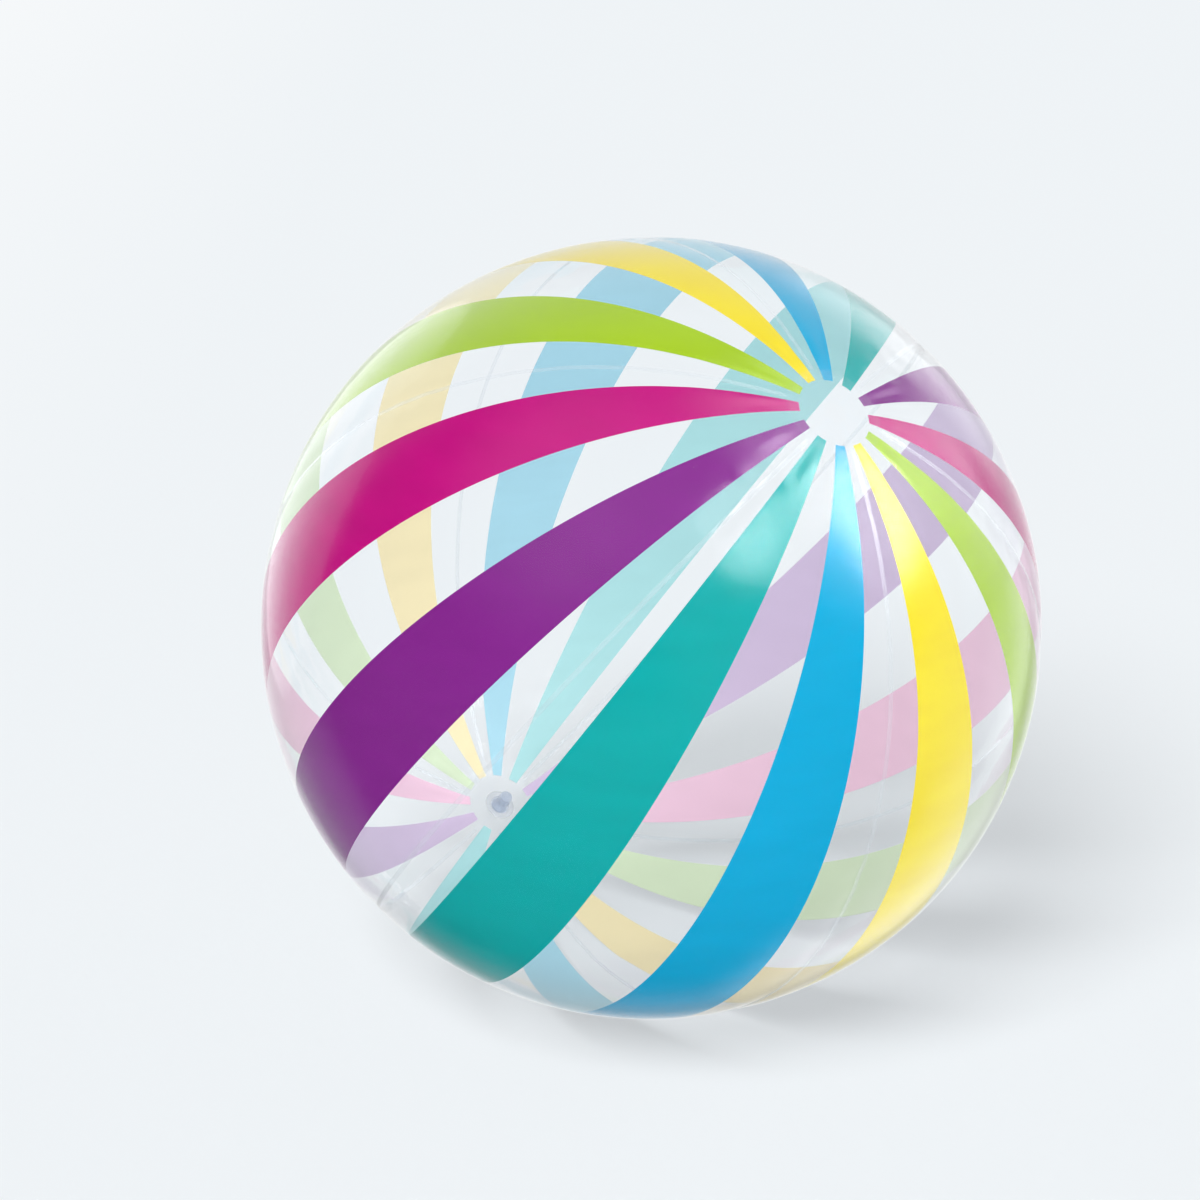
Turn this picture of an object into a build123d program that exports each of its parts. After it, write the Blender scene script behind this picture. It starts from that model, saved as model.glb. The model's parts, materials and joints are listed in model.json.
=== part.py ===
from build123d import *
from math import asin, cos, degrees, radians, sin, sqrt
import os

# Inflatable beach ball, blown up and standing on a floor. Sizes are in millimetres.
# Six gores of clear vinyl sheet run from pole to pole and are lap welded along their edges.
# Each gore carries two printed stripes on its inner face. A round clear disc closes each pole,
# and the disc on the lower, rear pole holds the inflation valve.
# The origin is the middle of the patch that touches the floor, and +Z is up.

# Envelope
ball_diameter = 680.0
film = 0.3  # thickness of the clear sheet
ink = 0.15  # thickness that the printed layer is drawn with
floor_sag = 3.0  # how far the ball's own weight flattens it against the floor
pole_tilt = 43.0  # lean of the pole axis from upright, in degrees
gore_count = 6
closed_hole_radius = 10.0  # the gores stop this far from the axis at the closed pole
valve_hole_radius = 15.0  # and this far from it at the valve pole
weld_lap = 3.5  # reach of a gore's edge under the next gore
weld_root = 2.0  # part of that edge strip that lies under the gore itself
weld_half_arc = 40.0  # degrees to either side of the seam, more than the strip fills at the poles

# Print
stripe_colours = ["purple", "teal", "blue", "yellow", "green", "magenta"]
stripe_repeats = 2
stripe_first = 7.5  # longitude of the middle of the first purple stripe
stripe_end_radius = 31.4  # the stripes stop this far from the axis at both poles
stripe_fill = 0.5  # share of its pitch that a stripe covers

# End discs
disc_radius = 42.0
disc_hole_radius = 9.0

# Valve. Heights are measured outward along its axis from the ball's surface.
flange_radius = 14.5
flange_thickness = 0.8
diaphragm_wall = 0.55
diaphragm_depth = 8.2
diaphragm_inset = 0.2  # of its outer edge, below the top of the flange's bore
stem_radius = 6.0
stem_bore_radius = 3.5
stem_length = 20.0
mouth_height = 2.4  # of the stem's mouth, with the valve pushed in
bead_radius = 6.8
bead_height = 0.8
bead_fillet = 0.28
tether_ring_radius = 7.8
tether_ring_gap = 0.05
tether_thickness = 1.0
tether_width = 4.2
tether_height = 0.5  # of its lower face, clear of the end disc
plug_hinge_reach = 11.2  # from the valve's axis to the fold in the tether
plug_radius = 6.4
plug_head_height = 2.5
plug_fillet = 0.75
plug_seat_gap = 0.1
spigot_length = 5.0
spigot_top_radius = 3.3
spigot_tip_radius = 2.4
flap_radius = 4.4
flap_thickness = 0.5
flap_seat_gap = 0.05
flap_hinge_reach = 5.2
flap_tab_width = 3.0

# Derived sizes
radius = ball_diameter / 2
gore_arc = 360 / gore_count
stripe_count = len(stripe_colours) * stripe_repeats
stripe_pitch = 360 / stripe_count
stripe_arc = stripe_pitch * stripe_fill
seam_first = stripe_first + stripe_pitch / 2  # the first seam, halfway between two stripes
stem_inner_end = mouth_height - stem_length
floor_radius = sqrt(radius**2 - (radius - floor_sag) ** 2)  # of the patch that touches the floor
floor_longitude = 270  # of the patch's middle
floor_half_arc = degrees(asin(floor_radius / (radius * sin(radians(pole_tilt)))))

# The ball's centre and its two poles
centre = Vector(0, 0, radius - floor_sag)
closed_pole = Vector(0, -sin(radians(pole_tilt)), cos(radians(pole_tilt)))
pole_axis = Axis(centre, closed_pole)
valve = Plane(origin=centre - closed_pole * radius, x_dir=(1, 0, 0), z_dir=closed_pole * -1)
valve_profile = Plane(origin=valve.origin, x_dir=valve.x_dir, z_dir=valve.y_dir * -1)
valve_axis = Axis(valve.origin, valve.z_dir)


def polar_angle(reach):
    """Angle at the ball's centre between the pole axis and a point this far from the axis."""
    return degrees(asin(reach / radius))


def crown(reach):
    """Height of the ball's surface at this distance from the valve's axis. It falls away from 0."""
    return sqrt(radius**2 - reach**2) - radius


def meridian(longitude):
    """Plane of one meridian: x points away from the pole axis, y towards the closed pole."""
    outward = Vector(1, 0, 0).rotate(Axis((0, 0, 0), closed_pole), longitude)
    return Plane(origin=centre, x_dir=outward, z_dir=outward.cross(closed_pole))


def ball_slice(depth, thickness, start, arc, from_angle, to_angle):
    """A slice of a thin ball between two meridians, its outside depth below the ball's surface.

    Its ends are given as angles from the closed pole.
    """
    outside = radius - depth
    with BuildPart() as piece:
        with BuildSketch(meridian(start)):
            with BuildLine():
                outer_arc = CenterArc((0, 0), outside, 90 - to_angle, to_angle - from_angle)
                inner_arc = CenterArc((0, 0), outside - thickness, 90 - to_angle, to_angle - from_angle)
                Line(outer_arc @ 0, inner_arc @ 0)
                Line(outer_arc @ 1, inner_arc @ 1)
            make_face()
        revolve(axis=pole_axis, revolution_arc=arc)
    return piece.part


def floor_patch(depth, thickness, low_side, high_side):
    """The flat part of such a slice, between two planes, whose rim lies inside the slice's wall."""
    middle = radius - depth - thickness / 2
    with BuildPart() as patch:
        with Locations((0, 0, depth)):
            Cone(
                bottom_radius=sqrt(middle**2 - (centre.Z - depth) ** 2),
                top_radius=sqrt(middle**2 - (centre.Z - depth - thickness) ** 2),
                height=thickness,
                align=(Align.CENTER, Align.CENTER, Align.MIN),
            )
        split(bisect_by=low_side, keep=Keep.BOTTOM)
        split(bisect_by=high_side, keep=Keep.TOP)
    return patch.part


def touches_floor(start, arc):
    """True if a slice from this longitude on reaches the patch that lies on the floor."""
    return start < floor_longitude + floor_half_arc and start + arc > floor_longitude - floor_half_arc


def skin_layer(depth, thickness, start, arc, from_angle, to_angle):
    """A thin layer of the ball's skin between two meridians, flat where it lies on the floor."""
    with BuildPart() as layer:
        add(ball_slice(depth, thickness, start, arc, from_angle, to_angle))
        if touches_floor(start, arc):
            split(bisect_by=Plane.XY.offset(depth), keep=Keep.TOP)
            add(floor_patch(depth, thickness, meridian(start), meridian(start + arc)))
    return layer.part


def weld_strip(seam, from_angle, to_angle):
    """The edge strip of a gore: it starts under the gore and reaches across the seam, inside."""
    low_side = meridian(seam).offset(weld_root)
    high_side = meridian(seam).offset(-weld_lap)
    with BuildPart() as strip:
        add(ball_slice(film, film, seam - weld_half_arc, 2 * weld_half_arc, from_angle, to_angle))
        split(bisect_by=low_side, keep=Keep.BOTTOM)
        split(bisect_by=high_side, keep=Keep.TOP)
        if touches_floor(seam, 0):
            split(bisect_by=Plane.XY.offset(film), keep=Keep.TOP)
            add(floor_patch(film, film, low_side, high_side))
    return strip.part


os.makedirs("parts", exist_ok=True)

# Gores, each one sheet from pole to pole with the weld strip along one edge
gore_from = polar_angle(closed_hole_radius)
gore_to = 180 - polar_angle(valve_hole_radius)
for number in range(gore_count):
    start = seam_first + number * gore_arc
    with BuildPart() as gore:
        add(skin_layer(0, film, start, gore_arc, gore_from, gore_to))
        add(weld_strip(start + gore_arc, gore_from, gore_to))
    gore.part.label = f"gore_panel_{number + 1}"
    export_step(gore.part, f"parts/{gore.part.label}.step")

# Printed stripes, on the inner face of the sheet
stripe_from = polar_angle(stripe_end_radius)
for number in range(stripe_count):
    colour = stripe_colours[number % len(stripe_colours)]
    repeat = number // len(stripe_colours) + 1
    start = stripe_first + number * stripe_pitch - stripe_arc / 2
    with BuildPart() as stripe:
        add(skin_layer(film, ink, start, stripe_arc, stripe_from, 180 - stripe_from))
    stripe.part.label = f"stripe_{colour}_{repeat}"
    export_step(stripe.part, f"parts/{stripe.part.label}.step")

# Disc over the closed pole, welded to the outside of the gores
disc_angle = polar_angle(disc_radius)
with BuildPart() as closed_disc:
    with BuildSketch(meridian(0)):
        with BuildLine():
            disc_top = CenterArc((0, 0), radius + film, 90 - disc_angle, disc_angle)
            disc_bottom = CenterArc((0, 0), radius, 90 - disc_angle, disc_angle)
            Line(disc_top @ 0, disc_bottom @ 0)
            Line(disc_top @ 1, disc_bottom @ 1)
        make_face()
    revolve(axis=pole_axis)
closed_disc.part.label = "closed_end_disc"
export_step(closed_disc.part, "parts/closed_end_disc.step")

# Disc over the valve pole, with a hole for the valve
hole_angle = polar_angle(disc_hole_radius)
with BuildPart() as valve_disc:
    with BuildSketch(meridian(0)):
        with BuildLine():
            disc_top = CenterArc((0, 0), radius + film, -90 + hole_angle, disc_angle - hole_angle)
            disc_bottom = CenterArc((0, 0), radius, -90 + hole_angle, disc_angle - hole_angle)
            Line(disc_top @ 0, disc_bottom @ 0)
            Line(disc_top @ 1, disc_bottom @ 1)
        make_face()
    revolve(axis=pole_axis)
valve_disc.part.label = "valve_end_disc"
export_step(valve_disc.part, "parts/valve_end_disc.step")

# Valve flange, welded under the end disc inside the ring of gore ends
with BuildPart() as flange:
    with BuildSketch(valve_profile):
        with BuildLine():
            flange_rim = Vector(flange_radius, crown(flange_radius))
            flange_bore = Vector(disc_hole_radius, crown(disc_hole_radius))
            RadiusArc(flange_bore, flange_rim, radius)
            Line(flange_rim, (flange_radius, crown(flange_radius) - flange_thickness))
            Line(
                (flange_radius, crown(flange_radius) - flange_thickness),
                (disc_hole_radius, crown(flange_radius) - flange_thickness),
            )
            Line((disc_hole_radius, crown(flange_radius) - flange_thickness), flange_bore)
        make_face()
    revolve(axis=valve_axis)
flange.part.label = "valve_flange"
export_step(flange.part, "parts/valve_flange.step")

# Diaphragm, the soft cone that turns inside out when the stem is pushed in
diaphragm_top = crown(disc_hole_radius) - diaphragm_inset
with BuildPart() as diaphragm:
    with BuildSketch(valve_profile):
        with BuildLine():
            Polyline(
                (disc_hole_radius, diaphragm_top),
                (disc_hole_radius, diaphragm_top - diaphragm_wall),
                (stem_radius, diaphragm_top - diaphragm_wall - diaphragm_depth),
                (stem_radius, diaphragm_top - diaphragm_depth),
                close=True,
            )
        make_face()
    revolve(axis=valve_axis)
diaphragm.part.label = "valve_diaphragm"
export_step(diaphragm.part, "parts/valve_diaphragm.step")

# Stem, a soft tube with a bead round its mouth
with BuildPart() as stem:
    with BuildSketch(valve.offset(stem_inner_end)):
        Circle(stem_radius)
    extrude(amount=stem_length)
    with BuildSketch(valve.offset(mouth_height - bead_height)):
        Circle(bead_radius)
    extrude(amount=bead_height)
    with BuildSketch(valve.offset(stem_inner_end)):
        Circle(stem_bore_radius)
    extrude(amount=stem_length, mode=Mode.SUBTRACT)
    mouth_rim = stem.edges().filter_by(GeomType.CIRCLE).group_by(SortBy.RADIUS)[-1]
    fillet(mouth_rim, bead_fillet)
stem.part.label = "valve_stem"
export_step(stem.part, "parts/valve_stem.step")

# Tether, a ring round the stem under the bead, with a tab out to the plug's hinge
with BuildPart() as tether:
    with BuildSketch(valve.offset(tether_height)):
        Circle(tether_ring_radius)
        with Locations((plug_hinge_reach / 2, 0)):
            Rectangle(plug_hinge_reach, tether_width)
        Circle(stem_radius + tether_ring_gap, mode=Mode.SUBTRACT)
    extrude(amount=tether_thickness)
tether.part.label = "plug_tether"
export_step(tether.part, "parts/plug_tether.step")

# Plug: a round head, a strap back to the hinge, and a tapered spigot in the stem's bore
plug_seat = mouth_height + plug_seat_gap
with BuildPart() as plug:
    with BuildSketch(valve.offset(plug_seat)):
        Circle(plug_radius)
    extrude(amount=plug_head_height)
    fillet(plug.edges().group_by(valve_axis)[-1], plug_fillet)
    with BuildSketch(valve.offset(plug_seat)):
        with Locations((plug_hinge_reach / 2, 0)):
            Rectangle(plug_hinge_reach, tether_width)
    extrude(amount=tether_thickness)
    with BuildSketch(valve.offset(plug_seat)):
        Circle(spigot_top_radius)
    with BuildSketch(valve.offset(plug_seat - spigot_length)):
        Circle(spigot_tip_radius)
    loft()
plug.part.label = "valve_plug"
export_step(plug.part, "parts/valve_plug.step")

# Check flap, a disc that hangs from one side of the stem's inner end and lets air in only
with BuildPart() as flap:
    with BuildSketch(valve.offset(stem_inner_end - flap_seat_gap)):
        Circle(flap_radius)
        with Locations((flap_hinge_reach / 2, 0)):
            Rectangle(flap_hinge_reach, flap_tab_width)
    extrude(amount=-flap_thickness)
flap.part.label = "check_flap"
export_step(flap.part, "parts/check_flap.step")
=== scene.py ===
"""Looks of the inflatable beach ball: clear welded gores, printed stripes, end discs and the push-in valve.

Lengths are in metres and angles in degrees. A place on the ball is given by its longitude, counted about
the pole axis, and its polar angle, counted from the closed pole. A place on the valve is given by how far it
lies to the side of the valve's axis, how far across from there, and how high above the valve pole.
"""
import json
import math

import bmesh
import bpy
import numpy as np
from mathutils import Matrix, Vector


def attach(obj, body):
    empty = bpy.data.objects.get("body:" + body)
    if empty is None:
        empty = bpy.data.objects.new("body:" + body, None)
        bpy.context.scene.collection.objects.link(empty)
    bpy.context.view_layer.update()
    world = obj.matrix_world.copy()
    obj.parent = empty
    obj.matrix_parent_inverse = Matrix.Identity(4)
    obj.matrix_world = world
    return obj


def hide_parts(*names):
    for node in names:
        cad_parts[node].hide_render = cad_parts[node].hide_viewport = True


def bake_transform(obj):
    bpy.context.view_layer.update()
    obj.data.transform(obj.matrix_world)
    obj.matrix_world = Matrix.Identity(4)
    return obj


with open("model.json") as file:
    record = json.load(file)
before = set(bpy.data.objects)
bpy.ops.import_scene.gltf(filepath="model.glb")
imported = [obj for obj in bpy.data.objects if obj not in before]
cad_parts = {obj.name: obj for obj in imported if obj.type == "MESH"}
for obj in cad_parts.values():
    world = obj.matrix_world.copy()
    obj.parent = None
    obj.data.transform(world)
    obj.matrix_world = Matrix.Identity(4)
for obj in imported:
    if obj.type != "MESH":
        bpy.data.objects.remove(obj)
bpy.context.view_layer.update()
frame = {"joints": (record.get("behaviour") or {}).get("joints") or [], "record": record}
joints = {joint["name"]: joint for joint in frame["joints"]}
mounts = {mount["name"]: mount for mount in frame["record"]["mounts"]}
MM = 0.001

# The ball in the frame
MOUTH_HEIGHT = 2.4 * MM  # of the stem's mouth above the ball's surface
VALVE_AXIS = np.array(joints["stem_slide"]["axis"])
CLOSED_POLE = -VALVE_AXIS
MOUTH = np.array(mounts["inflation_mouth"]["pos_m"])
RADIUS = MOUTH[1] / VALVE_AXIS[1] - MOUTH_HEIGHT
CENTRE = MOUTH - VALVE_AXIS * (RADIUS + MOUTH_HEIGHT)
EAST = np.array((1.0, 0.0, 0.0))  # longitude 0, and the side of the valve where the plug is hinged
NORTH = np.cross(CLOSED_POLE, EAST)  # longitude 90
VALVE_POLE = CENTRE + VALVE_AXIS * RADIUS
VALVE_ACROSS = np.cross(VALVE_AXIS, EAST)

# Sheet, welds and end discs
FILM = 0.3 * MM
FILM_GAP = 0.02 * MM  # kept between two layers that touch on the real ball
GORES = 6
GORE_ARC = 360 / GORES
SEAM_FIRST = 22.5
WELD_LAP = 3.5 * MM
WELD_ROOT = 2.0 * MM
WELD_MARGIN = 0.3 * MM  # of the pressed band past each edge of the lap
WELD_BEAD = 0.14 * MM
WELD_BEAD_WIDTH = 0.4 * MM
WELD_RIBS = 1.3 * MM  # from one rib to the next
CLOSED_HOLE = 10.0 * MM
VALVE_HOLE = 15.0 * MM
DISC = 42.0 * MM
DISC_HOLE = 9.0 * MM
DISC_WELD = 36.5 * MM  # inner edge of the welded rim of a disc
DISC_BEAD = 0.25 * MM
DISC_BEAD_WIDTH = 0.5 * MM
DISC_BEAD_INSET = 1.0 * MM  # of the outer bead from the rim

# Print
INK = 0.15 * MM
COLOURS = ("purple", "teal", "blue", "yellow", "green", "magenta")
STRIPES = 2 * len(COLOURS)
STRIPE_FIRST = 7.5
STRIPE_PITCH = 360 / STRIPES
STRIPE_ARC = STRIPE_PITCH / 2
STRIPE_END = 31.4 * MM
PRINT_RAGGED = 0.4 * MM  # unevenness of a stripe's ends

# Valve
FLANGE = 14.5 * MM
FLANGE_THICKNESS = 0.8 * MM
FLANGE_RIBS = (11.0 * MM, 13.0 * MM)
DIAPHRAGM_INSET = 0.2 * MM
DIAPHRAGM_WALL = 0.55 * MM
DIAPHRAGM_DEPTH = 8.2 * MM
STEM = 6.0 * MM
STEM_BORE = 3.5 * MM
STEM_END = MOUTH_HEIGHT - 20.0 * MM
BEAD = 6.8 * MM
BEAD_HEIGHT = 0.8 * MM
TETHER_BORE = 6.05 * MM
TETHER = 7.8 * MM
TETHER_HEIGHT = 0.5 * MM
STRAP_THICKNESS = 1.0 * MM
STRAP_WIDTH = 4.2 * MM
FOLD_WALL = 0.6 * MM
HINGE_REACH = 11.2 * MM
PLUG_SEAT = MOUTH_HEIGHT + 0.1 * MM
PLUG = 6.4 * MM
PLUG_HEIGHT = 2.5 * MM
SPIGOT_TOP = 3.3 * MM
SPIGOT_TIP = 2.4 * MM
SPIGOT_LENGTH = 5.0 * MM
FLAP = 4.4 * MM
FLAP_THICKNESS = 0.5 * MM
FLAP_TOP = STEM_END - 0.05 * MM
FLAP_HINGE = 5.2 * MM
FLAP_TAB = 3.0 * MM

# Stage
FLOOR_DROP = 0.4 * MM  # of the drawn floor below the ball, clear of the weld beads
FLOOR_REACH = 30.0
AZIMUTH = -38.6
ELEVATION = 20.0
DISTANCE = 7.6 * RADIUS  # of the camera from the ball's centre
LENS = 88.4  # in millimetres, as the sensor is
SENSOR = 36.0
AIM_LEFT = 0.0447  # the ball stands a little right of the middle of the view
AIM_UP = 0.0241  # and a little below it
KEY_ELEVATION = 44.0
KEY_SIDE = -32.0  # of the key light on the ball, to the left of the camera
KEY_ANGLE = 33.0
SHADOW_ELEVATION = 44.0
SHADOW_SIDE = -25.0  # of the key light on the floor, whose angle sets how soft the shadow is
SHADOW_ANGLE = 28.0
KEY_ON_FLOOR = 2.95
KEY_ON_BALL = 1.35
SIDE_FILL = 1.25
SIDE_FILL_ANGLE = 80
INNER_FILL = 1.15
INNER_FILL_RADIUS = 0.1
SKY = 0.42
SKY_TINT = (0.97, 0.985, 1.0, 1)
SKY_REFLECTED = 0.01  # between the soft lights that reflections show
BACKDROP = (239, 243, 246)
PAPER = (180, 183, 185)
# Paper colour far over on the left, paler there because a pool of light is painted into it
PAPER_PAINTED_LIGHT = (190, 190, 190)
PAPER_GLOW = 0.44
PAINTED_LIGHT_SPAN = (0.7, 2.0)  # distances to the left over which the painted light on the paper grows
CLEAR_CROSSINGS = 48  # clear faces that light may pass through


def linear(level):
    """Scene-linear value of an 8-bit screen level."""
    if level <= 10:
        return level / 255 / 12.92
    return ((level / 255 + 0.055) / 1.055) ** 2.4


def rgb(red, green, blue):
    """Scene-linear colour of an 8-bit screen colour."""
    return linear(red), linear(green), linear(blue)


# ---------------------------------------------------------------- shape of the skin
random = np.random.default_rng(12)
RIPPLES = [  # wavelength, phase and slant
    (random.uniform(22, 55) * MM, random.uniform(0, math.tau), random.uniform(-0.9, 0.9))
    for _ in range(5)
]
SWELLS = [(random.normal(size=3), random.uniform(0, math.tau)) for _ in range(6)]  # direction and phase
CREASES = [(count, random.uniform(0, math.tau)) for count in (13, 19, 24, 31)]  # number round a pole, phase
SEAM_DRAW = 1.1 * MM
SEAM_DRAW_WIDTH = 11 * MM
RIPPLE = 0.14 * MM
RIPPLE_WIDTH = 20 * MM
RIPPLE_PATCH = 71 * MM  # sets how far apart the rippled patches of a seam lie
SWELL = 0.22 * MM
SWELL_RATE = 3.2
CREASE = 0.15 * MM
CREASE_MIDDLE = 58 * MM  # where the creases are deepest, from the pole axis
CREASE_WIDTH = 24 * MM
POLE_CALM = 34 * MM  # the skin is plain inside this distance from a pole
FLOOR_ROUNDING = 0.4 * MM


def polar_of(reach):
    """Polar angle of a point this far from the pole axis, on the closed pole's side."""
    return np.degrees(np.arcsin(np.asarray(reach) / RADIUS))


def smooth_step(value, low, high):
    share = np.clip((value - low) / (high - low), 0, 1)
    return share * share * (3 - 2 * share)


def bell(value, middle, width):
    """1 at the middle, falling smoothly to nothing on both sides."""
    return np.exp(-(((value - middle) / width) ** 2))


def relief(longitudes, polars):
    """Height of the real skin over a plain ball: drawn-in puckered seams, creases by the discs, swells."""
    tilt = np.radians(polars)
    narrow = np.sin(tilt)
    reach = RADIUS * narrow
    turns = (longitudes - SEAM_FIRST) / GORE_ARC
    seam = np.round(turns)
    away = np.radians((turns - seam) * GORE_ARC) * reach
    seam = seam % GORES
    along = tilt * RADIUS
    ripple = sum(
        np.sin(math.tau * (along + slant * np.abs(away)) / wavelength + phase * (1 + seam))
        for wavelength, phase, slant in RIPPLES
    )
    patchy = 0.55 + 0.45 * np.sin(along / RIPPLE_PATCH + 2.1 * seam)
    spots = np.radians(longitudes)
    unit = np.stack((narrow * np.cos(spots), narrow * np.sin(spots), np.cos(tilt)), -1)
    swell = sum(np.sin(unit @ direction * SWELL_RATE + phase) for direction, phase in SWELLS)
    crease = sum(np.sin(count * spots + phase + 1.5 * np.sin(2 * spots)) for count, phase in CREASES)
    crease = crease * bell(reach, CREASE_MIDDLE, CREASE_WIDTH)
    height = -SEAM_DRAW * bell(away, 0, SEAM_DRAW_WIDTH)
    height = height + RIPPLE * ripple * patchy * bell(away, 0, RIPPLE_WIDTH)
    height = height + SWELL * swell + CREASE * crease
    return height * smooth_step(reach, POLE_CALM, 2.2 * POLE_CALM)


def skin(longitudes, polars, depth):
    """Points on the skin, depth below its outer face, flattened where the ball lies on the floor."""
    longitudes, polars = np.broadcast_arrays(longitudes, polars)
    depth = np.broadcast_to(depth, longitudes.shape)
    turn = np.radians(longitudes)[..., None]
    tilt = np.radians(polars)[..., None]
    outward = np.sin(tilt) * (np.cos(turn) * EAST + np.sin(turn) * NORTH) + np.cos(tilt) * CLOSED_POLE
    points = CENTRE + (RADIUS - depth + relief(longitudes, polars))[..., None] * outward
    above = points[..., 2] - depth
    points[..., 2] = depth + 0.5 * (above + np.sqrt(above**2 + FLOOR_ROUNDING**2))
    return points


# ---------------------------------------------------------------- mesh helpers
def mesh_object(name, points, faces):
    mesh = bpy.data.meshes.new(name)
    mesh.from_pydata(np.asarray(points, dtype=float).tolist(), [], faces)
    mesh.update()
    piece = bpy.data.objects.new(name, mesh)
    bpy.context.scene.collection.objects.link(piece)
    return piece


def quads(rows, columns, start=0, wrap=False):
    """Four-sided faces between the points of a grid, which are numbered row after row from start."""
    across = np.arange(columns if wrap else columns - 1)
    first = start + (np.arange(rows - 1) * columns)[:, None]
    a = first + across
    b = first + (across + 1) % columns
    return np.stack((a, a + columns, b + columns, b), -1).reshape(-1, 4)


def shell(name, outer, inner, wrap=False):
    """A closed thin piece between two grids of points. Its inner face and rim have material 1."""
    rows, columns = outer.shape[:2]
    count = rows * columns
    front = quads(rows, columns, wrap=wrap)
    back = quads(rows, columns, start=count, wrap=wrap)[:, ::-1]
    top = np.arange(columns)
    bottom = top + count - columns
    if wrap:
        edges = [np.append(top, top[0]), np.append(bottom, bottom[0])[::-1]]
    else:
        left = np.arange(rows) * columns
        edges = [np.concatenate((top, (left + columns - 1)[1:], bottom[::-1][1:], left[::-1][1:]))]
    rim = [np.stack((edge[:-1], edge[1:], edge[1:] + count, edge[:-1] + count), -1) for edge in edges]
    faces = np.concatenate([front, back, *rim])
    points = np.concatenate((outer.reshape(-1, 3), inner.reshape(-1, 3)))
    piece = mesh_object(name, points, faces.tolist())
    slots = np.ones(len(faces), dtype=np.int32)
    slots[: len(front)] = 0
    piece.data.polygons.foreach_set("material_index", slots)
    piece.data.shade_smooth()
    piece.data.set_sharp_from_angle(angle=math.radians(50))
    return piece


def clean(piece, sharp=40):
    """Merge points that coincide, face everything outwards, and shade smoothly between sharp edges."""
    work = bmesh.new()
    work.from_mesh(piece.data)
    bmesh.ops.remove_doubles(work, verts=work.verts, dist=0.001 * MM)
    bmesh.ops.recalc_face_normals(work, faces=work.faces)
    work.to_mesh(piece.data)
    work.free()
    piece.data.shade_smooth()
    piece.data.set_sharp_from_angle(angle=math.radians(sharp))


def add_uv(piece, across, along):
    """A UV map in metres, across the piece and along it, from one value for each point."""
    layer = piece.data.uv_layers.new(name="metres")
    corners = np.zeros(len(piece.data.loops), dtype=np.int32)
    piece.data.loops.foreach_get("vertex_index", corners)
    values = np.stack((np.ravel(across)[corners], np.ravel(along)[corners]), -1)
    layer.data.foreach_set("uv", values.ravel())


def valve_place(side, across, height):
    """A point of the valve."""
    return VALVE_POLE + EAST * side + VALVE_ACROSS * across + VALVE_AXIS * height


def crown(reach):
    """Height of the ball's surface this far from the valve's axis."""
    return math.sqrt(RADIUS**2 - reach**2) - RADIUS


def soften(corners, fillet, steps=5):
    """The closed outline through these corners with every corner rounded off."""
    outline = []
    corners = [np.array(corner) for corner in corners]
    for before, corner, after in zip(corners[-1:] + corners[:-1], corners, corners[1:] + corners[:1]):
        cut_in = min(fillet, 0.45 * np.linalg.norm(before - corner))
        cut_out = min(fillet, 0.45 * np.linalg.norm(after - corner))
        start = corner + (before - corner) / np.linalg.norm(before - corner) * cut_in
        end = corner + (after - corner) / np.linalg.norm(after - corner) * cut_out
        for t in np.linspace(0, 1, steps):
            outline.append((1 - t) ** 2 * start + 2 * t * (1 - t) * corner + t**2 * end)
    return outline


def turned(name, outline, segments=72):
    """A piece turned about the valve's axis from a closed outline of (reach, height) points."""
    angles = np.linspace(0, math.tau, segments, endpoint=False)
    outline = list(outline) + [outline[0]]
    points = [
        valve_place(reach * math.cos(angle), reach * math.sin(angle), height)
        for reach, height in outline
        for angle in angles
    ]
    piece = mesh_object(name, points, quads(len(outline), segments, wrap=True).tolist())
    clean(piece)
    return piece


def strap(name, start, end, width, low, high, fillet):
    """A flat strap of the valve, with rounded edges, from start to end along the hinge side."""
    half = width / 2
    corners = [(-half, low), (half, low), (half, high), (-half, high)]
    section = soften(corners, fillet)
    sides = np.linspace(start, end, 9)
    points = [valve_place(side, across, height) for side in sides for across, height in section]
    faces = quads(len(sides), len(section), wrap=True).tolist()
    faces.append(list(range(len(section))))
    faces.append(list(range(len(points) - len(section), len(points))))
    piece = mesh_object(name, points, faces)
    clean(piece)
    return piece


def join(keep, *others):
    """Add the other meshes to the first as separate closed parts of one piece."""
    work = bmesh.new()
    for piece in (keep, *others):
        work.from_mesh(piece.data)
    work.to_mesh(keep.data)
    work.free()
    for piece in others:
        bpy.data.objects.remove(piece)
    keep.data.shade_smooth()
    keep.data.set_sharp_from_angle(angle=math.radians(40))


# ---------------------------------------------------------------- materials
# Noise scales, in features per metre
SHEET_GRAIN = 60
SHEET_CLOUDS = 22
SHEET_WAVES = 38
INK_GRAIN = 90
INK_STREAKS = (14, 14, 60)
MOULDED_CLOUDS = 180
MOULDED_GRAIN = 500
MOULDED_PITS = 900

IOR = 1.5  # of vinyl and ink
CLEAR_TINT = (0.995, 0.998, 1.0, 1)
GRAZING_POWER = 6  # how late the clear sheet turns into a mirror towards grazing angles
GRAZING_MIRROR = 0.7
INK_DEPTH = 0.25 * MM
MOULDED_DEPTH = 0.02 * MM


def new_material(name):
    material = bpy.data.materials.new(name)
    material.use_nodes = True
    nodes = material.node_tree.nodes
    return material, nodes, material.node_tree.links, nodes["Principled BSDF"]


def noise(nodes, links, scale, detail):
    """Noise over the surface, in metres."""
    place = nodes.new("ShaderNodeTexCoord")
    texture = nodes.new("ShaderNodeTexNoise")
    texture.inputs["Scale"].default_value = scale
    texture.inputs["Detail"].default_value = detail
    links.new(place.outputs["Object"], texture.inputs["Vector"])
    return texture.outputs["Fac"]


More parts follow.
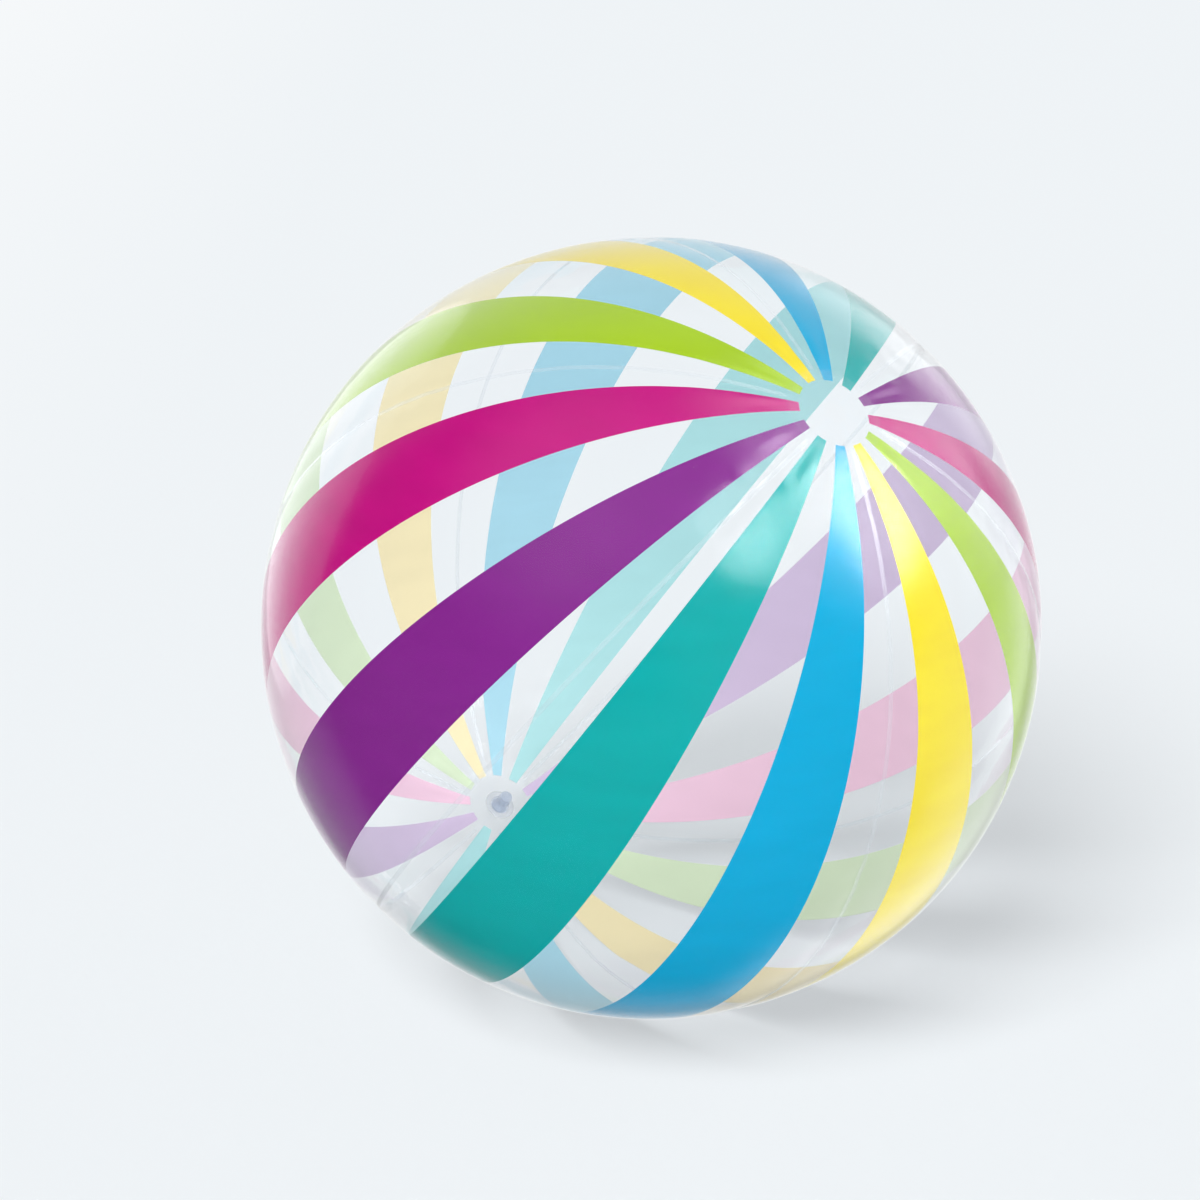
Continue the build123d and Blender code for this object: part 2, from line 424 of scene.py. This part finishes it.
def spread(nodes, links, value, low, high):
    """Map a 0 to 1 value to this range."""
    mapping = nodes.new("ShaderNodeMapRange")
    mapping.inputs["To Min"].default_value = low
    mapping.inputs["To Max"].default_value = high
    links.new(value, mapping.inputs["Value"])
    return mapping.outputs["Result"]


def bump(nodes, links, height, depth, *shaders):
    relief_node = nodes.new("ShaderNodeBump")
    relief_node.inputs["Strength"].default_value = 1.0
    relief_node.inputs["Distance"].default_value = depth
    links.new(height, relief_node.inputs["Height"])
    for shader in shaders:
        links.new(relief_node.outputs["Normal"], shader.inputs["Normal"])


def clear_vinyl(name, haze, haze_colour, mirror, wave, ribs=None):
    """Clear sheet: a little haze, and a mirror that grows towards grazing angles."""
    material, nodes, links, cloudy = new_material(name)
    cloudy.inputs["Base Color"].default_value = (*haze_colour, 1)
    cloudy.inputs["IOR"].default_value = IOR
    grain = noise(nodes, links, SHEET_GRAIN, 3)
    links.new(spread(nodes, links, grain, 0.12, 0.24), cloudy.inputs["Roughness"])
    clear = nodes.new("ShaderNodeBsdfTransparent")
    clear.inputs["Color"].default_value = CLEAR_TINT
    gloss = nodes.new("ShaderNodeBsdfAnisotropic")
    gloss.inputs["Color"].default_value = (1, 1, 1, 1)
    links.new(spread(nodes, links, grain, 0.03, 0.1), gloss.inputs["Roughness"])
    milk = nodes.new("ShaderNodeMixShader")
    cloud = spread(nodes, links, noise(nodes, links, SHEET_CLOUDS, 2), 0.6 * haze, 1.4 * haze)
    links.new(cloud, milk.inputs["Fac"])
    links.new(clear.outputs["BSDF"], milk.inputs[1])
    links.new(cloudy.outputs["BSDF"], milk.inputs[2])
    facing = nodes.new("ShaderNodeLayerWeight")
    facing.inputs["Blend"].default_value = 0.5
    steep = nodes.new("ShaderNodeMath")
    steep.operation = "POWER"
    steep.inputs[1].default_value = GRAZING_POWER
    links.new(facing.outputs["Facing"], steep.inputs[0])
    surface = nodes.new("ShaderNodeMixShader")
    links.new(spread(nodes, links, steep.outputs[0], mirror, GRAZING_MIRROR), surface.inputs["Fac"])
    links.new(milk.outputs["Shader"], surface.inputs[1])
    links.new(gloss.outputs["BSDF"], surface.inputs[2])
    links.new(surface.outputs["Shader"], nodes["Material Output"].inputs["Surface"])
    height = noise(nodes, links, SHEET_WAVES, 2)
    if ribs:
        height = rib_pattern(nodes, links, ribs)
    bump(nodes, links, height, wave, cloudy, gloss)
    return material


def rib_pattern(nodes, links, pitch):
    """Fine ribs across a weld, as the sealing bar leaves them."""
    place = nodes.new("ShaderNodeUVMap")
    ribs = nodes.new("ShaderNodeTexWave")
    ribs.bands_direction = "Y"
    ribs.inputs["Scale"].default_value = math.tau / 20 / pitch  # at scale 1 a metre is 20 radians
    links.new(place.outputs["UV"], ribs.inputs["Vector"])
    return ribs.outputs["Fac"]


def print_ink(name, colour, roughness, fade):
    """Printed ink: an even colour, with faint mottling and streaks in how thick it lies."""
    material, nodes, links, shader = new_material(name)
    place = nodes.new("ShaderNodeTexCoord")
    stretch = nodes.new("ShaderNodeMapping")
    stretch.inputs["Scale"].default_value = INK_STREAKS
    streaks = nodes.new("ShaderNodeTexNoise")
    streaks.inputs["Scale"].default_value = 1
    streaks.inputs["Detail"].default_value = 4
    ramp = nodes.new("ShaderNodeValToRGB")
    ramp.color_ramp.elements[0].position = 0.32
    ramp.color_ramp.elements[1].position = 0.68
    ramp.color_ramp.elements[0].color = (*[c * (1 - fade) for c in colour], 1)
    ramp.color_ramp.elements[1].color = (*[min(1, c * (1 + fade)) for c in colour], 1)
    links.new(place.outputs["Object"], stretch.inputs["Vector"])
    links.new(stretch.outputs["Vector"], streaks.inputs["Vector"])
    links.new(streaks.outputs["Fac"], ramp.inputs["Fac"])
    links.new(ramp.outputs["Color"], shader.inputs["Base Color"])
    grain = spread(nodes, links, noise(nodes, links, INK_GRAIN, 3), roughness - 0.05, roughness + 0.05)
    links.new(grain, shader.inputs["Roughness"])
    shader.inputs["IOR"].default_value = IOR
    bump(nodes, links, noise(nodes, links, SHEET_WAVES, 2), INK_DEPTH, shader)
    return material


def soft_vinyl(name, colour, alpha):
    """The valve's soft moulded vinyl: bluish, cloudy and glossy."""
    material, nodes, links, shader = new_material(name)
    ramp = nodes.new("ShaderNodeValToRGB")
    ramp.color_ramp.elements[0].position = 0.3
    ramp.color_ramp.elements[1].position = 0.7
    ramp.color_ramp.elements[0].color = (*[c * 0.93 for c in colour], 1)
    ramp.color_ramp.elements[1].color = (*colour, 1)
    links.new(noise(nodes, links, MOULDED_CLOUDS, 3), ramp.inputs["Fac"])
    links.new(ramp.outputs["Color"], shader.inputs["Base Color"])
    grain = spread(nodes, links, noise(nodes, links, MOULDED_GRAIN, 2), 0.16, 0.3)
    links.new(grain, shader.inputs["Roughness"])
    shader.inputs["Alpha"].default_value = alpha
    bump(nodes, links, noise(nodes, links, MOULDED_PITS, 3), MOULDED_DEPTH, shader)
    return material


FRONT = {
    "purple": rgb(136, 36, 142),
    "teal": rgb(0, 174, 172),
    "blue": rgb(0, 176, 222),
    "yellow": rgb(255, 230, 24),
    "green": rgb(174, 210, 30),
    "magenta": rgb(202, 6, 130),
}
BACK = {
    "purple": rgb(202, 184, 212),
    "teal": rgb(166, 214, 216),
    "blue": rgb(162, 208, 224),
    "yellow": rgb(238, 224, 180),
    "green": rgb(208, 224, 192),
    "magenta": rgb(232, 194, 214),
}
film_look = clear_vinyl("clear_vinyl", 0.0015, rgb(240, 244, 248), 0.003, 0.3 * MM)
disc_look = clear_vinyl("disc_vinyl", 0.02, rgb(240, 243, 248), 0.004, 0.2 * MM)
weld_look = clear_vinyl("weld_vinyl", 0.09, rgb(240, 244, 248), 0.012, 0.04 * MM, WELD_RIBS)
valve_look = soft_vinyl("valve_vinyl", rgb(226, 236, 252), 0.42)
flange_look = soft_vinyl("flange_vinyl", rgb(240, 244, 250), 0.35)
front_look = {colour: print_ink(f"ink_{colour}_face", FRONT[colour], 0.2, 0.035) for colour in COLOURS}
back_look = {colour: print_ink(f"ink_{colour}_back", BACK[colour], 0.4, 0.02) for colour in COLOURS}


def dress(piece, body, slot, *looks):
    """Give a piece its materials and its body. The record's slot is not used."""
    for look in looks:
        piece.data.materials.append(look)
    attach(piece, body)


# ---------------------------------------------------------------- gores, stripes, welds and discs
def gore_columns():
    """Offsets of a gore's columns from its first seam: close by the seams, and under 1 degree elsewhere."""
    near_seam = [0, 0.25, 0.5, 0.8, 1.15, 1.55, 2.0, 2.5, 3.1, 3.8, 4.6, 5.5, 6.5]
    middle = np.linspace(7.5, GORE_ARC - 7.5, 49)
    return np.concatenate((near_seam, middle, GORE_ARC - np.array(near_seam[::-1])))


def make_gore(number):
    """One sheet from seam to seam, with its edge strip stepped down under the next gore."""
    start = SEAM_FIRST + number * GORE_ARC
    columns = start + gore_columns()
    end = [start + GORE_ARC] * 4
    polars = np.linspace(polar_of(CLOSED_HOLE), 180 - polar_of(VALVE_HOLE), 241)[:, None]
    reach = RADIUS * np.sin(np.radians(polars))
    inside = FILM - FILM_GAP
    step = 0.1 * MM
    sides = []
    wide = len(columns) - 1
    for root, top, low in ((0, 0, FILM), (-WELD_ROOT, inside, 2 * FILM)):
        shift = np.append(np.zeros(wide), (root, step + root, WELD_LAP / 2, WELD_LAP))
        around = np.append(columns[:-1], end) + np.degrees(shift / reach)
        around[:, :wide] = np.minimum(around[:, :wide], around[:, [wide]])
        depth = np.append(np.full(wide, top), (top, low, low, low))
        sides.append(skin(around, polars, depth))
    gore = shell(f"gore_{number + 1}", *sides)
    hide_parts(f"gore_panel_{number + 1}")
    dress(gore, "envelope", "clear_film", film_look, film_look)


def make_stripe(number):
    """One printed stripe: full colour outside, and paler from inside the ball."""
    colour = COLOURS[number % len(COLOURS)]
    repeat = number // len(COLOURS) + 1
    middle = STRIPE_FIRST + number * STRIPE_PITCH
    around = np.linspace(middle - STRIPE_ARC / 2, middle + STRIPE_ARC / 2, 17)
    ragged = np.degrees(random.uniform(0, PRINT_RAGGED, (2, len(around))) / RADIUS)
    top = polar_of(STRIPE_END) + ragged[0]
    bottom = 180 - polar_of(STRIPE_END) - ragged[1]
    polars = top + np.linspace(0, 1, 237)[:, None] * (bottom - top)
    stripe = shell(f"print_{colour}_{repeat}", skin(around, polars, FILM), skin(around, polars, FILM + INK))
    stripe.visible_diffuse = False  # so that no stripe tints the floor
    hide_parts(f"stripe_{colour}_{repeat}")
    dress(stripe, "envelope", f"ink_{colour}", front_look[colour], back_look[colour])
    return stripe


def make_weld(number):
    """The pressed lap weld along one seam: a bead along each edge and fine ribs between them."""
    across = np.linspace(-WELD_MARGIN, WELD_LAP + WELD_MARGIN, 21)
    bead = bell(across, WELD_MARGIN, WELD_BEAD_WIDTH) + bell(across, WELD_LAP - WELD_MARGIN, WELD_BEAD_WIDTH)
    height = 2 * FILM_GAP + WELD_BEAD * bead
    end = polar_of(DISC + 0.5 * MM)
    polars = np.linspace(end, 180 - end, 241)[:, None]
    reach = RADIUS * np.sin(np.radians(polars))
    around = SEAM_FIRST + number * GORE_ARC + np.degrees(across / reach)
    outer = skin(around, polars, -height)
    inner = skin(around, polars, -FILM_GAP / 2)
    weld = shell(f"seam_weld_{number + 1}", outer, inner)
    along = np.broadcast_to(np.radians(polars) * RADIUS, around.shape)
    add_uv(weld, np.tile(np.broadcast_to(across, around.shape), (2, 1)), np.tile(along, (2, 1)))
    dress(weld, "envelope", "clear_film", weld_look, weld_look)


def make_disc(name, node, hole, valve_side):
    """Round end sheet welded over the gores, with two beads pressed round its rim."""
    plain = np.linspace(hole, DISC_WELD - 1 * MM, 30)
    welded = np.linspace(DISC_WELD - 0.6 * MM, DISC, 26)
    reaches = np.concatenate((plain, welded))
    polars = polar_of(reaches)[:, None]
    beads = sum(bell(reaches, middle, DISC_BEAD_WIDTH) for middle in (DISC_WELD, DISC - DISC_BEAD_INSET))
    height = (FILM + DISC_BEAD * beads)[:, None]
    around = np.linspace(0, 360, 144, endpoint=False)
    if valve_side:
        polars = 180 - polars
        around = around[::-1]
    outer = skin(around, polars, -height)
    inner = skin(around, polars, -FILM_GAP)
    disc = shell(name, outer, inner, wrap=True)
    clean(disc, 50)
    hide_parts(node)
    dress(disc, "envelope", "clear_disc", disc_look, disc_look)


stripes = []
for index in range(GORES):
    make_gore(index)
    make_weld(index)
for index in range(STRIPES):
    stripes.append(make_stripe(index))
make_disc("disc_closed_end", "closed_end_disc", 0, False)
make_disc("disc_valve_end", "valve_end_disc", DISC_HOLE, True)


# ---------------------------------------------------------------- valve
def make_flange():
    """Ring under the end disc, with a rounded edge and two ribs on its inner face."""
    low = crown(FLANGE) - FLANGE_THICKNESS
    ribs = []
    for reach in FLANGE_RIBS:
        ribs += [(reach - 0.5 * MM, low), (reach, low - 0.35 * MM), (reach + 0.5 * MM, low)]
    inner_edge = [(DISC_HOLE, crown(DISC_HOLE)), (DISC_HOLE, low)]
    outer_edge = [(FLANGE, low), (FLANGE, crown(FLANGE))]
    corners = inner_edge + ribs + outer_edge
    flange = turned("flange_ring", soften(corners, 0.25 * MM))
    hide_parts("valve_flange")
    dress(flange, "envelope", "valve_vinyl", flange_look)


def make_diaphragm():
    """Soft thin cone from flange to stem, rolled over at its top. It is drawn at rest only, though the real
    one turns inside out with the stem.
    """
    top = crown(DISC_HOLE) - DIAPHRAGM_INSET
    bottom = top - DIAPHRAGM_DEPTH
    share = np.linspace(0, 1, 25)
    reach = DISC_HOLE + (STEM - DISC_HOLE) * smooth_step(share, 0, 1) ** 0.8
    height = top + (bottom - top) * share
    outer = [(r, h) for r, h in zip(reach, height)]
    inner = [(r, h - DIAPHRAGM_WALL) for r, h in zip(reach[::-1], height[::-1])]
    diaphragm = turned("diaphragm_cone", outer + inner)
    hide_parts("valve_diaphragm")
    diaphragm.data.materials.append(valve_look)
    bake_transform(diaphragm)


def make_stem():
    bead_low = MOUTH_HEIGHT - BEAD_HEIGHT
    corners = [
        (STEM_BORE, STEM_END + 0.6 * MM),
        (STEM_BORE + 0.5 * MM, STEM_END),
        (STEM, STEM_END),
        (STEM, bead_low),
        (BEAD, bead_low),
        (BEAD, MOUTH_HEIGHT),
        (STEM_BORE + 0.6 * MM, MOUTH_HEIGHT),
        (STEM_BORE, MOUTH_HEIGHT - 0.8 * MM),
    ]
    stem = turned("stem_tube", soften(corners, 0.3 * MM))
    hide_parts("valve_stem")
    dress(stem, "stem", "valve_vinyl", valve_look)


def make_tether():
    """Ring round the stem with a strap to the plug's hinge."""
    low, high = TETHER_HEIGHT, TETHER_HEIGHT + STRAP_THICKNESS
    corners = [(TETHER_BORE, low), (TETHER, low), (TETHER, high), (TETHER_BORE, high)]
    ring = turned("tether_ring", soften(corners, 0.25 * MM))
    tab = strap("tether_tab", TETHER - 0.4 * MM, HINGE_REACH, STRAP_WIDTH, low, high, 0.25 * MM)
    join(ring, tab)
    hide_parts("plug_tether")
    dress(ring, "stem", "valve_vinyl", valve_look)


def make_fold():
    """The thin fold between tether and plug, drawn as it lies with the plug shut, though the real one bends
    as the plug swings out.
    """
    low = TETHER_HEIGHT + STRAP_THICKNESS / 2
    high = PLUG_SEAT + STRAP_THICKNESS / 2
    middle = (low + high) / 2
    bend = (high - low) / 2
    wall = FOLD_WALL / 2
    wide = STRAP_WIDTH / 2 - 0.3 * MM
    section = soften([(-wide, -wall), (wide, -wall), (wide, wall), (-wide, wall)], 0.15 * MM)
    root = HINGE_REACH - 0.1 * MM
    angles = np.radians(np.linspace(-90, 90, 15))
    points = []
    for angle in angles:
        for across, out in section:
            side = root + (bend + out) * math.cos(angle)
            points.append(valve_place(side, across, middle + (bend + out) * math.sin(angle)))
    faces = quads(len(angles), len(section), wrap=True).tolist()
    faces += [list(range(len(section))), list(range(len(points) - len(section), len(points)))]
    fold = mesh_object("tether_fold", points, faces)
    clean(fold)
    fold.data.materials.append(valve_look)
    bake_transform(fold)


def make_plug():
    """Plug: a dished head with a rim and a grip nib, a hollow tapered spigot and a strap to the hinge."""
    top = PLUG_SEAT + PLUG_HEIGHT
    tip = PLUG_SEAT - SPIGOT_LENGTH
    corners = [
        (0, top - 0.6 * MM),
        (1.1 * MM, top - 0.6 * MM),
        (1.5 * MM, top - 1.1 * MM),
        (4.6 * MM, top - 1.1 * MM),
        (5.1 * MM, top),
        (PLUG, top),
        (PLUG, PLUG_SEAT),
        (SPIGOT_TOP, PLUG_SEAT),
        (SPIGOT_TIP + 0.35 * MM, tip + 1.6 * MM),
        (SPIGOT_TIP + 0.35 * MM, tip + 0.9 * MM),
        (SPIGOT_TIP - 0.2 * MM, tip),
        (SPIGOT_TIP - 1.0 * MM, tip),
        (SPIGOT_TIP - 1.2 * MM, PLUG_SEAT),
        (0, PLUG_SEAT),
    ]
    head = turned("plug_head", soften(corners, 0.35 * MM))
    strap_top = PLUG_SEAT + STRAP_THICKNESS
    tab = strap("plug_strap", PLUG - 0.5 * MM, HINGE_REACH, STRAP_WIDTH, PLUG_SEAT, strap_top, 0.25 * MM)
    join(head, tab)
    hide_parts("valve_plug")
    dress(head, "plug", "valve_vinyl", valve_look)


def make_flap():
    """Check flap: a thin disc with a boss under it and a neck to its hinge."""
    low = FLAP_TOP - FLAP_THICKNESS
    boss = low - 0.3 * MM
    corners = [(0, FLAP_TOP), (FLAP, FLAP_TOP), (FLAP, low), (2.5 * MM, low), (2.1 * MM, boss), (0, boss)]
    flap = turned("flap_disc", soften(corners, 0.12 * MM))
    neck = strap("flap_neck", FLAP - 0.5 * MM, FLAP_HINGE, FLAP_TAB, low, FLAP_TOP, 0.12 * MM)
    join(flap, neck)
    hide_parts("check_flap")
    dress(flap, "flap", "valve_vinyl", valve_look)


make_flange()
make_diaphragm()
make_stem()
make_tether()
make_fold()
make_plug()
make_flap()


# ---------------------------------------------------------------- stage, light and camera
turn = math.radians(AZIMUTH)
lift = math.radians(ELEVATION)
TOWARDS = np.array((math.sin(turn), -math.cos(turn), 0))  # level direction from the ball to the camera
RIGHT = np.array((math.cos(turn), math.sin(turn), 0))
ZENITH = np.array((0, 0, 1))
BACK = TOWARDS * math.cos(lift) + ZENITH * math.sin(lift)
UP = np.cross(BACK, RIGHT)

# Soft round lights that only reflections show: direction, full angle, outer angle and radiance.
# The words after each say what it may stand for, in a room that is made up.
REFLECTED = (
    (0.60 * UP - 0.80 * BACK, 30, 70, 0.85),  # wall behind the ball
    (-0.35 * UP - BACK, 5, 40, 0.3),  # floor behind it
    (0.48 * RIGHT + 0.50 * UP - 0.72 * BACK, 3, 18, 0.8),  # window behind it on the right
    (0.86 * RIGHT + 0.40 * UP - 0.32 * BACK, 5, 22, 2.0),  # pale wall on the right
    (0.78 * RIGHT - 0.04 * UP - 0.62 * BACK, 3, 20, 1.1),  # its lower part
    (0.57 * RIGHT - 0.54 * UP - 0.61 * BACK, 5, 30, 1.2),  # floor at the right
    (-0.70 * RIGHT - 0.37 * UP - 0.61 * BACK, 5, 22, 0.35),  # floor at the left
    (-0.75 * RIGHT + 0.35 * UP - 0.75 * BACK, 24.5, 26.5, 0.6),  # sharp-edged screen at the left
    (0.74 * RIGHT + 0.56 * UP + 0.25 * BACK, 5, 38, 2.8),  # wide lamp at the right
    (0.87 * RIGHT + 0.43 * UP + 0.24 * BACK, 3, 18, 10.0),  # its bright middle
    (0.66 * RIGHT + 0.58 * UP + 0.48 * BACK, 2, 15, 5.5),  # second lamp at the right
    (0.455 * RIGHT + 0.41 * UP + 0.79 * BACK, 0, 15, 8.5),  # lamp by the camera
    (0.38 * RIGHT + 0.87 * UP + 0.30 * BACK, 2, 20, 1.0),  # lamp overhead
    (-0.25 * RIGHT + 0.60 * UP + 0.75 * BACK, 5, 50, 0.6),  # ceiling
    (0.95 * RIGHT - 0.20 * UP - 0.15 * BACK, 5, 30, 1.2),  # low wall on the right
)


def make_floor():
    """Pale paper floor, with a pool of light painted into its colour far over on the left."""
    edge = FLOOR_REACH
    corners = [(-edge, -edge), (edge, -edge), (edge, edge), (-edge, edge)]
    floor = mesh_object("stage_floor", [(x, y, -FLOOR_DROP) for x, y in corners], [[0, 1, 2, 3]])
    material, nodes, links, shader = new_material("stage_paper")
    place = nodes.new("ShaderNodeTexCoord")
    sideways = nodes.new("ShaderNodeVectorMath")
    sideways.operation = "DOT_PRODUCT"
    sideways.inputs[1].default_value = tuple(-RIGHT)
    glow = nodes.new("ShaderNodeMapRange")
    glow.inputs["From Min"].default_value = PAINTED_LIGHT_SPAN[0]
    glow.inputs["From Max"].default_value = PAINTED_LIGHT_SPAN[1]
    # painted light: the paper's colour grows paler towards the far left
    ramp = nodes.new("ShaderNodeValToRGB")
    ramp.color_ramp.elements[0].color = (*rgb(*PAPER), 1)
    ramp.color_ramp.elements[1].color = (*rgb(*PAPER_PAINTED_LIGHT), 1)
    links.new(place.outputs["Object"], sideways.inputs[0])
    links.new(sideways.outputs["Value"], glow.inputs["Value"])
    links.new(glow.outputs["Result"], ramp.inputs["Fac"])
    links.new(ramp.outputs["Color"], shader.inputs["Base Color"])
    shader.inputs["Roughness"].default_value = 1
    shader.inputs["Specular IOR Level"].default_value = 0
    shader.inputs["Emission Color"].default_value = (*rgb(*BACKDROP), 1)
    shader.inputs["Emission Strength"].default_value = PAPER_GLOW
    floor.data.materials.append(material)
    floor.visible_glossy = False


def direction_glow(nodes, links, towards, inner, outer, radiance):
    """Brightness of a soft round light: full within the inner angle, nothing past the outer."""
    place = nodes.new("ShaderNodeTexCoord")
    towards = np.array(towards) / np.linalg.norm(towards)
    aim = nodes.new("ShaderNodeVectorMath")
    aim.operation = "DOT_PRODUCT"
    aim.inputs[1].default_value = tuple(towards)
    fall = nodes.new("ShaderNodeMapRange")
    fall.interpolation_type = "SMOOTHSTEP"
    fall.inputs["From Min"].default_value = math.cos(math.radians(outer))
    fall.inputs["From Max"].default_value = math.cos(math.radians(inner))
    fall.inputs["To Max"].default_value = radiance
    links.new(place.outputs["Generated"], aim.inputs[0])
    links.new(aim.outputs["Value"], fall.inputs["Value"])
    return fall.outputs["Result"]


def make_sky():
    """Even soft light for the surfaces, the backdrop for the camera, and soft lights for reflections."""
    world = bpy.data.worlds.new("studio")
    bpy.context.scene.world = world
    world.use_nodes = True
    world.cycles.sampling_method = "NONE"
    nodes = world.node_tree.nodes
    links = world.node_tree.links
    even = nodes["Background"]
    even.inputs["Color"].default_value = SKY_TINT
    even.inputs["Strength"].default_value = SKY
    total = None
    for glow in REFLECTED:
        light = direction_glow(nodes, links, *glow)
        if total is not None:
            add = nodes.new("ShaderNodeMath")
            links.new(total, add.inputs[0])
            links.new(light, add.inputs[1])
            light = add.outputs[0]
        total = light
    base = nodes.new("ShaderNodeMath")
    base.inputs[1].default_value = SKY_REFLECTED
    links.new(total, base.inputs[0])
    mirrored = nodes.new("ShaderNodeBackground")
    mirrored.inputs["Color"].default_value = SKY_TINT
    links.new(base.outputs[0], mirrored.inputs["Strength"])
    path = nodes.new("ShaderNodeLightPath")
    seen = nodes.new("ShaderNodeBackground")
    seen.inputs["Color"].default_value = (*rgb(*BACKDROP), 1)
    surface = even
    for kind, other in (("Is Glossy Ray", mirrored), ("Is Camera Ray", seen)):
        choose = nodes.new("ShaderNodeMixShader")
        links.new(path.outputs[kind], choose.inputs["Fac"])
        links.new(surface.outputs[0], choose.inputs[1])
        links.new(other.outputs[0], choose.inputs[2])
        surface = choose
    links.new(surface.outputs[0], nodes["World Output"].inputs["Surface"])


def add_light(name, kind, power, place=None, towards=None):
    """A lamp that reflections and the camera don't show. A sun shines from this direction."""
    lamp = bpy.data.lights.new(name, kind)
    lamp.energy = power
    light = bpy.data.objects.new(name, lamp)
    if place is not None:
        light.location = place
    if towards is not None:
        light.rotation_euler = Vector(towards).to_track_quat("Z", "Y").to_euler()
    light.visible_camera = False
    light.visible_glossy = False
    light.visible_transmission = False
    bpy.context.scene.collection.objects.link(light)
    return light


def group_of(name, pieces):
    """A collection, outside the scene, that tells a light which pieces it reaches."""
    group = bpy.data.collections.new(name)
    for piece in pieces:
        group.objects.link(piece)
    return group


def direction_of(side, elevation):
    """Direction this far to the right of the camera and this high, seen from the ball."""
    side = math.radians(side)
    elevation = math.radians(elevation)
    level = TOWARDS * math.cos(side) + RIGHT * math.sin(side)
    return level * math.cos(elevation) + ZENITH * math.sin(elevation)


def make_lights():
    """Large soft keys from the left of the camera, a fill from its right, and a fill inside the ball."""
    floor = [bpy.data.objects["stage_floor"]]
    ball = [thing for thing in bpy.context.scene.objects if thing.type == "MESH" and thing not in floor]
    shadow_from = direction_of(SHADOW_SIDE, SHADOW_ELEVATION)
    key_from = direction_of(KEY_SIDE, KEY_ELEVATION)
    fill_from = 0.7 * RIGHT + 0.05 * UP + 0.7 * BACK
    for name, power, towards, spread_angle, reached in (
        ("key_on_floor", KEY_ON_FLOOR, shadow_from, SHADOW_ANGLE, floor),
        ("key_on_ball", KEY_ON_BALL, key_from, KEY_ANGLE, ball),
        ("side_fill", SIDE_FILL, fill_from, SIDE_FILL_ANGLE, ball),
    ):
        light = add_light(name, "SUN", power, towards=towards)
        light.data.angle = math.radians(spread_angle)
        light.light_linking.receiver_collection = group_of(f"{name}_reaches", reached)
    inner = add_light("inner_fill", "POINT", INNER_FILL, place=CENTRE + 0.02 * UP)
    inner.data.shadow_soft_size = INNER_FILL_RADIUS
    inner.light_linking.receiver_collection = group_of("inner_fill_reaches", stripes)


def make_camera():
    lens = bpy.data.cameras.new("camera")
    lens.lens = LENS
    lens.sensor_width = SENSOR
    camera = bpy.data.objects.new("camera", lens)
    place = CENTRE + BACK * DISTANCE
    aim = CENTRE - RIGHT * AIM_LEFT + UP * AIM_UP
    camera.location = place
    camera.rotation_euler = Vector(place - aim).to_track_quat("Z", "Y").to_euler()
    bpy.context.scene.collection.objects.link(camera)
    bpy.context.scene.camera = camera


make_floor()
make_sky()
make_lights()
make_camera()
scene = bpy.context.scene
scene.view_settings.view_transform = "Standard"
scene.cycles.transparent_max_bounces = CLEAR_CROSSINGS
